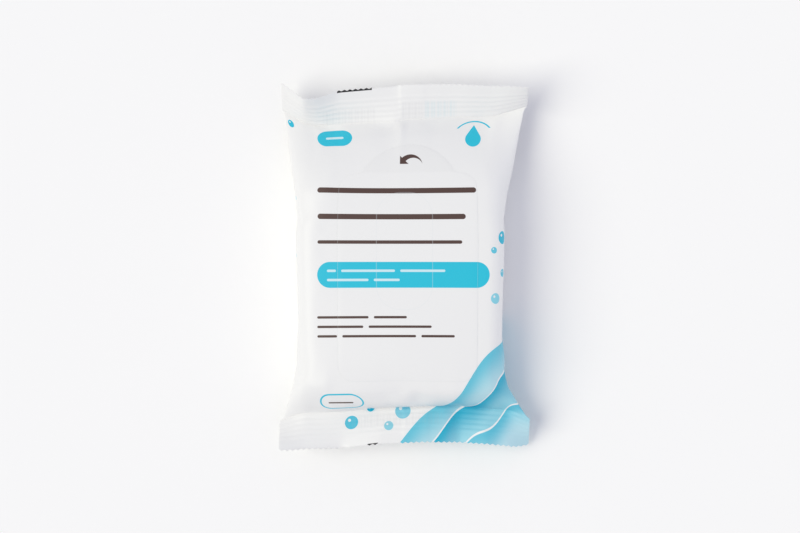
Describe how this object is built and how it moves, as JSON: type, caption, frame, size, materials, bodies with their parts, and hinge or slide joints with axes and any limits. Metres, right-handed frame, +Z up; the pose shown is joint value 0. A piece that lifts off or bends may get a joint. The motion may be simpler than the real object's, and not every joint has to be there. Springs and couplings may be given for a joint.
{
  "type": "wet wipes pack",
  "caption": "Sealed film flow pack of folded wet wipes with crimped, pinked end seals, a fin seal along the back and a peel-and-reseal label with a finger tab on its top panel.",
  "frame": {"origin": "on the table, under the middle of the pack's box, with the pack lying on its back", "axes": "+Z up out of the labelled panel, +Y along the pack towards the label's finger tab, +X to the right"},
  "size_m": [0.0984, 0.142, 0.0242],
  "materials": {
    "film": "white satin film with a pale blue and brown print",
    "label": "clear label film, a little greyer on its finger tab"
  },
  "bodies": {
    "root": {"sealed_pack": "film", "reseal_label": "label"}
  },
  "joints": []
}
